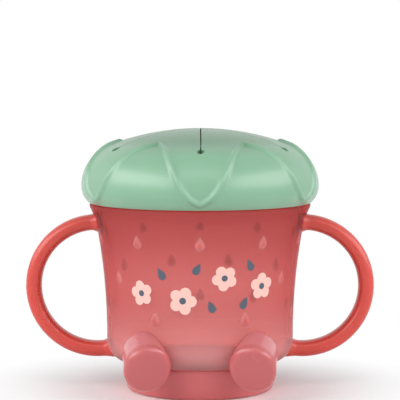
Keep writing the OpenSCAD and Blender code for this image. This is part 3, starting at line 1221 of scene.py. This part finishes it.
    def ring_sector(self, number: int) -> np.ndarray:
        """Lay the fixed lid between two slits, from the flap's root to the lower edge.

        Args:
            number: Number of the sector, from 1.

        Returns:
            Places in millimetres: rows by columns by x, y and z.
        """
        share = np.linspace(-1, 1, self.columns)[None, :]
        turn = share * self.step / 2
        reach = self.hole_r + self.hole_margin
        marks = [
            self.run_at(self.root / np.cos(turn)),
            self.run_at(self.slit_end - reach) + 0 * turn,
            self.run_at(self.slit_end + reach) + 0 * turn,
            self.total_len + 0 * turn,
        ]
        bands = [
            start + (end - start) * np.linspace(0, 1, count, endpoint=False)[:, None]
            for start, end, count in zip(marks[:-1], marks[1:], self.rows, strict=True)
        ]
        run = np.concatenate([*bands, marks[-1]])
        radius = self.dome(run)[0]
        gap = np.where(run > self.upper_len, 0, self.half_gap(radius))
        centre = (number - 0.5) * self.step
        fade = smooth_step(self.slit_end, self.slit_end + self.slit_end_fade, radius)
        around = centre + share * (self.step / 2 - gap / radius)
        skew = self.slit_skew * (1 - fade) / radius
        return self.place(around + skew, run, self.rib_relief(around, run))

    def ring(self) -> bpy.types.Object:
        """Join the six sectors under the slits, and give the sheet its thickness.

        Returns:
            The lid's fixed part.
        """
        grids = [self.ring_sector(number) for number in range(1, self.flaps + 1)]
        one = grid_quads(*grids[0].shape[:2], False)
        size = grids[0].shape[0] * grids[0].shape[1]
        quads = np.concatenate([one + size * number for number in range(self.flaps)])
        piece = new_piece("leafy_lid", np.concatenate(grids).reshape(-1, 3), quads)
        self.thicken(piece)
        return piece

    def thicken(self, piece: bpy.types.Object) -> None:
        """Give an open sheet its thickness inwards, and store how deep its tone is, as painted
        shade.

        The thin crown lies over the dark inside of the cup, so it is painted darker than the
        shoulder as painted shade.

        Args:
            piece: The open sheet.
        """
        face_up(piece)
        x, y, _ = spots_of(piece)
        # Painted shade: the crown is painted darker, fading out towards the shoulder.
        set_share(piece, "depth", 1 - smooth_step(*self.crown_shade_rs, np.hypot(x, y)))
        solid = piece.modifiers.new("sheet", "SOLIDIFY")
        solid.thickness = self.sheet * MM
        solid.offset = -1.0
        solid.use_even_offset = True

    def flap(self, number: int) -> bpy.types.Object:
        """Lay one flap: a wedge of the dome from its tip to its straight root.

        Args:
            number: Number of the flap, from 1.

        Returns:
            The flap, with the sheet's thickness.
        """
        share = np.linspace(-1, 1, self.columns)[None, :]
        turn = share * self.step / 2
        tip_r = self.slit_half / math.sin(self.step / 2) * self.tip_trim
        down = np.linspace(0, 1, self.flap_rows)[:, None] ** self.row_power
        radius = tip_r + (self.root / np.cos(turn) - tip_r) * down
        limit = self.step / 2 - np.minimum(self.slit_half / radius, self.step / 2)
        around = (number - 0.5) * self.step + share * limit + self.slit_skew / radius
        grid = self.place(around, self.run_at(radius), 0 * radius)
        quads = grid_quads(*grid.shape[:2], False)
        piece = new_piece(f"silicone_flap_{number}", grid.reshape(-1, 3), quads)
        self.thicken(piece)
        return piece

    def bend(self, piece: bpy.types.Object) -> None:
        """Bake a flap's place into its mesh.

        Args:
            piece: The flap.
        """
        height = float(self.dome(self.run_at(np.array(self.hinge)))[1])
        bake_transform(piece)

    def groove(self) -> bpy.types.Object:
        """Turn the flange, groove and inner skirt under the dome, as one closed form.

        Returns:
            The new piece.
        """
        edge = self.flange[-1][1]
        skirt_in, skirt_z = self.skirt_r - self.skirt_w, self.seat_z - self.skirt_drop
        seat, foot, ring, top, side = self.groove_fillets
        profile = rounded_profile(
            [
                (self.bore_r, edge, 0),
                (self.bore_r, self.seat_z, seat),
                (self.skirt_r, self.seat_z, seat),
                (self.skirt_r, skirt_z, foot),
                (skirt_in, skirt_z, foot),
                (skirt_in, self.seat_z + self.seat_rise, ring),
                (*self.flange[0], top),
                (*self.flange[1], side),
                (*self.flange[2], 0),
                (self.bore_r, edge, 0),
            ]
        )
        return revolve("rim_groove", profile, self.turns)

    def dress(self) -> None:
        """Build the lid's pieces, give them their finish and join the fixed ones to the lid's body.
        """
        ring = self.ring()
        dress(ring, LID_SILICONE, "lid")
        dress(self.groove(), LID_SILICONE, "lid")
        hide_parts("lid")
        for number in range(1, self.flaps + 1):
            piece = self.flap(number)
            dress(piece, LID_SILICONE, "")
            self.bend(piece)
            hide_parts(f"flap_{number}")


# ---- Printed front ----


@dataclass(frozen=True)
class Motif:
    """One printed motif.

    Attributes:
        turn_deg: Turn of its middle from the front.
        height: Height of its middle.
        size: Radius of a blossom, or length of a drop.
        spin: How far it is turned in its own plane, in radians.
    """

    turn_deg: float
    height: float
    size: float
    spin: float


@dataclass
class Print:
    """Small motifs printed on the cup's front: blossoms and drops in a staggered scatter.

    Attributes:
        cup: The cup they are printed on.
        lift: How far the ink lies over the wall.
        eye_lift: How far a blossom's eye lies over its petals.
        rings: Count of rings from a motif's middle to its edge.
        blossom_points: Count of points round a blossom.
        drop_points: Count of points round a drop.
        petals: Count of a blossom's petals.
        waist: Radius between two petals over the blossom's radius.
        petal_power: Power that rounds the petals.
        eye: Radius of a blossom's eye over the blossom's radius.
        drop_w: Half width of a drop over its length, before its tip draws it in.
        drop_power: Power by which the tip draws it in.
        blossoms: The blossoms, from left to right.
        drops: The drops, from left to right.
    """

    cup: SnackCup
    lift: float = 0.06
    eye_lift: float = 0.03
    rings: int = 7
    blossom_points: int = 120
    drop_points: int = 64
    petals: int = 5
    waist: float = 0.70
    petal_power: float = 0.8
    eye: float = 0.24
    drop_w: float = 0.42
    drop_power: float = 1.4
    blossoms: tuple[Motif, ...] = (
        Motif(-36.0, 39.0, 4.6, 0.2),
        Motif(-10.0, 37.0, 5.0, 0.9),
        Motif(14.0, 45.0, 4.6, 0.5),
        Motif(38.0, 41.5, 4.8, 1.3),
    )
    drops: tuple[Motif, ...] = (
        Motif(-22.5, 46.5, 4.8, 0.5),
        Motif(-1.5, 48.5, 4.6, -0.5),
        Motif(6.5, 35.0, 4.6, 0.4),
        Motif(26.5, 36.0, 4.8, -0.4),
        Motif(29.0, 49.5, 4.6, 0.5),
    )

    def patch(
        self, name: str, outline: np.ndarray, motif: Motif, lift: float, finish: Finish
    ) -> None:
        """Lay a filled outline on the wall.

        Args:
            name: Name of the piece.
            outline: Rows of sideways and upward place about the motif's middle.
            motif: Where it lies.
            lift: How far over the wall.
            finish: Ink of the motif.
        """
        spread = outline[None] * np.linspace(0, 1, self.rings)[:, None, None]
        height = motif.height + spread[..., 1]
        radius = self.cup.wall_r(height) + lift
        middle_r = float(self.cup.wall_r(np.array(motif.height)))
        turn = math.radians(motif.turn_deg) + spread[..., 0] / middle_r
        grid = np.stack([radius * np.sin(turn), -radius * np.cos(turn), height], axis=-1)
        piece = new_piece(name, grid.reshape(-1, 3), grid_quads(*grid.shape[:2], True))
        face_up(piece)
        dress(piece, finish, "cup")

    def blossom(self, number: int, motif: Motif) -> None:
        """Print a blossom: its edge's radius swings once for each petal, with a round eye.

        Args:
            number: Number of the blossom, from 1.
            motif: Its place, size and spin.
        """
        angle = np.linspace(0, 2 * math.pi, self.blossom_points, endpoint=False)
        circle = np.stack([np.sin(angle), np.cos(angle)], axis=1)
        swing = np.abs(np.cos(self.petals / 2 * (angle + motif.spin))) ** self.petal_power
        radius = motif.size * (self.waist + (1 - self.waist) * swing)
        petals, eye = radius[:, None] * circle, self.eye * motif.size * circle
        self.patch(f"blossom_{number}", petals, motif, self.lift, PALE_PINK_INK)
        self.patch(f"blossom_eye_{number}", eye, motif, self.lift + self.eye_lift, SLATE_INK)

    def drop(self, number: int, motif: Motif) -> None:
        """Print a drop: a circle drawn out to a point, as its width shrinks towards the tip.

        Args:
            number: Number of the drop, from 1.
            motif: Its place, size and spin.
        """
        angle = np.linspace(0, 2 * math.pi, self.drop_points, endpoint=False)
        across = motif.size * self.drop_w * np.sin(angle) * np.sin(angle / 2) ** self.drop_power
        up = motif.size / 2 * np.cos(angle)
        cosine, sine = math.cos(motif.spin), math.sin(motif.spin)
        turned = np.stack([across * cosine - up * sine, across * sine + up * cosine], axis=1)
        self.patch(f"drop_{number}", turned, motif, self.lift, SLATE_INK)

    def dress(self) -> None:
        """Print the scatter, its heights rising and falling from side to side."""
        for number, motif in enumerate(self.blossoms, 1):
            self.blossom(number, motif)
        for number, motif in enumerate(self.drops, 1):
            self.drop(number, motif)


# ---- Studio ----


@dataclass(frozen=True)
class Lamp:
    """One soft lamp that points at the cup's middle.

    Attributes:
        name: Its name.
        turn_deg: Turn from the front.
        lift_deg: Elevation.
        size: Width and height in metres.
        power: Power in watts.
    """

    name: str
    turn_deg: float
    lift_deg: float
    size: tuple[float, float]
    power: float


@dataclass
class Studio:
    """Pale floor, soft lamps, light from all round and the camera.

    Attributes:
        distance: Distance from the cup's middle to the camera, in millimetres.
        elevation_deg: Elevation of the camera.
        middle_z: Height from which that elevation is taken.
        aim_z: Height on the cup's axis that the camera points at.
        focal_px: Focal length, in the unit of frame_px.
        frame_px: Width of the frame.
        near: Nearest distance that the camera sees, in metres.
        lamps: The lamps.
        lamp_reach: Distance of the lamps, in metres.
        lamp_aim_z: Height that the lamps point at, in metres.
        floor_tone: Grey level of the floor.
        floor_roughness: Roughness of the floor.
        floor_z: Height of the floor, a little under the cup.
        floor_rings: Radii of the floor's rings.
        floor_points: Count of points round a ring.
        fade: Distances in metres between which the floor turns into the white around it.
        sky: Colour of the light from all round.
        sky_strength: Its strength.
    """

    distance: float = 650.0
    elevation_deg: float = 6.4
    middle_z: float = 48.76
    aim_z: float = 69.81
    focal_px: float = 1758.0
    frame_px: float = 400.0
    near: float = 0.01
    lamps: tuple[Lamp, ...] = (
        Lamp("left", -62, 27, (1.1, 0.42), 6.2),
        Lamp("right", 64, 25, (1.1, 0.42), 5.4),
        Lamp("front", 0, 48, (0.5, 0.3), 0.8),
    )
    lamp_reach: float = 0.85
    lamp_aim_z: float = 0.05
    floor_tone: float = 0.94
    floor_roughness: float = 0.7
    floor_z: float = -0.02
    floor_rings: tuple[float, ...] = (0.0, 400.0, 3000.0)
    floor_points: int = 64
    fade: tuple[float, float] = (0.035, 0.095)
    sky: tuple[float, float, float] = (0.95, 0.97, 1.0)
    sky_strength: float = 0.33

    def aim(self, thing: bpy.types.Object, target: Vector) -> None:
        """Point a camera or lamp at a target and put it into the scene.

        Args:
            thing: Camera or lamp, already in its place.
            target: Place it points at, in metres.
        """
        thing.rotation_euler = (target - thing.location).to_track_quat("-Z", "Y").to_euler()
        bpy.context.scene.collection.objects.link(thing)

    def camera(self) -> None:
        """Set the camera up.

        Its angle of view is twice the arctangent of half the frame over the focal length.
        """
        lift = math.radians(self.elevation_deg)
        back, up = self.distance * math.cos(lift), self.distance * math.sin(lift)
        data = bpy.data.cameras.new("camera")
        data.sensor_fit = "HORIZONTAL"
        data.angle = 2 * math.atan(self.frame_px / 2 / self.focal_px)
        data.clip_start = self.near
        camera = bpy.data.objects.new("camera", data)
        camera.location = Vector((0, -back, self.middle_z + up)) * MM
        self.aim(camera, Vector((0, 0, self.aim_z * MM)))
        bpy.context.scene.camera = camera

    def hang(self, lamp: Lamp) -> None:
        """Hang a lamp and point it at the cup's middle.

        Args:
            lamp: The lamp.
        """
        data = bpy.data.lights.new(lamp.name, "AREA")
        data.shape = "RECTANGLE"
        data.size, data.size_y = lamp.size
        data.energy = lamp.power
        light = bpy.data.objects.new(lamp.name, data)
        around, up = math.radians(lamp.turn_deg), math.radians(lamp.lift_deg)
        way = (math.cos(up) * math.sin(around), -math.cos(up) * math.cos(around), math.sin(up))
        middle = Vector((0, 0, self.lamp_aim_z))
        light.location = middle + self.lamp_reach * Vector(way)
        self.aim(light, middle)

    def sight(self, tree: bpy.types.NodeTree) -> bpy.types.NodeSocket:
        """Tell rays that see, from the camera, off a gloss or through a clear wall, from others.

        Args:
            tree: Node tree that asks.

        Returns:
            Socket that is 1 for a ray that sees.
        """
        path = tree.nodes.new("ShaderNodeLightPath")
        total = path.outputs["Is Camera Ray"]
        for name in ("Is Glossy Ray", "Is Transmission Ray"):
            most = tree.nodes.new("ShaderNodeMath")
            most.operation = "MAXIMUM"
            tree.links.new(total, most.inputs[0])
            tree.links.new(path.outputs[name], most.inputs[1])
            total = most.outputs["Value"]
        return total

    def floor_material(self) -> bpy.types.Material:
        """Pale matt floor that keeps the shadow, and turns white away from the cup.

        Returns:
            The floor's material.
        """
        material = bpy.data.materials.new("floor")
        material.use_nodes = True
        tree = material.node_tree
        nodes, links = tree.nodes, tree.links
        shader = nodes["Principled BSDF"]
        shader.inputs["Base Color"].default_value = (*[self.floor_tone] * 3, 1)
        shader.inputs["Roughness"].default_value = self.floor_roughness
        reach = nodes.new("ShaderNodeVectorMath")
        reach.operation = "LENGTH"
        links.new(nodes.new("ShaderNodeTexCoord").outputs["Object"], reach.inputs[0])
        fade = nodes.new("ShaderNodeMapRange")
        fade.interpolation_type = "SMOOTHSTEP"
        fade.inputs["From Min"].default_value, fade.inputs["From Max"].default_value = self.fade
        links.new(reach.outputs["Value"], fade.inputs["Value"])
        seen = nodes.new("ShaderNodeMath")
        seen.operation = "MULTIPLY"
        links.new(fade.outputs["Result"], seen.inputs[0])
        links.new(self.sight(tree), seen.inputs[1])
        white = nodes.new("ShaderNodeEmission")
        white.inputs["Color"].default_value = (1, 1, 1, 1)
        mix = nodes.new("ShaderNodeMixShader")
        links.new(seen.outputs["Value"], mix.inputs["Fac"])
        links.new(shader.outputs["BSDF"], mix.inputs[1])
        links.new(white.outputs["Emission"], mix.inputs[2])
        links.new(mix.outputs["Shader"], nodes["Material Output"].inputs["Surface"])
        return material

    def floor(self) -> None:
        """Lay a wide floor disc."""
        angle = np.linspace(0, 2 * math.pi, self.floor_points, endpoint=False)
        rings = np.array(self.floor_rings)[:, None]
        height = self.floor_z + 0 * rings * angle
        grid = np.stack([rings * np.cos(angle), rings * np.sin(angle), height], axis=-1)
        piece = new_piece("floor", grid.reshape(-1, 3), grid_quads(*grid.shape[:2], True))
        face_up(piece)
        piece.data.materials.append(self.floor_material())

    def world(self) -> None:
        """Light from all round, and white where the camera or a gloss looks past the object."""
        world = bpy.data.worlds.new("world")
        bpy.context.scene.world = world
        world.use_nodes = True
        nodes, links = world.node_tree.nodes, world.node_tree.links
        light = nodes["Background"]
        light.inputs["Color"].default_value = (*self.sky, 1)
        light.inputs["Strength"].default_value = self.sky_strength
        white = nodes.new("ShaderNodeBackground")
        white.inputs["Color"].default_value = (1, 1, 1, 1)
        white.inputs["Strength"].default_value = 1.0
        mix = nodes.new("ShaderNodeMixShader")
        links.new(self.sight(world.node_tree), mix.inputs["Fac"])
        links.new(light.outputs["Background"], mix.inputs[1])
        links.new(white.outputs["Background"], mix.inputs[2])
        links.new(mix.outputs["Shader"], nodes["World Output"].inputs["Surface"])

    def build(self) -> None:
        """Set up floor, world, lamps and camera, and the plain colour transform."""
        self.floor()
        self.world()
        for lamp in self.lamps:
            self.hang(lamp)
        self.camera()
        bpy.context.scene.view_settings.view_transform = "Standard"


def main() -> None:
    """Build the sub-assemblies in order."""
    logging.basicConfig(level=logging.INFO, format="%(name)s: %(message)s")
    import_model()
    Studio().build()
    cup = SnackCup()
    cup.dress()
    BaseBoot().dress()
    for side in Side:
        LoopHandle(side).dress()
        Foot(side).dress()
    FlapLid().dress()
    Print(cup).dress()


if __name__ == "__main__":
    main()
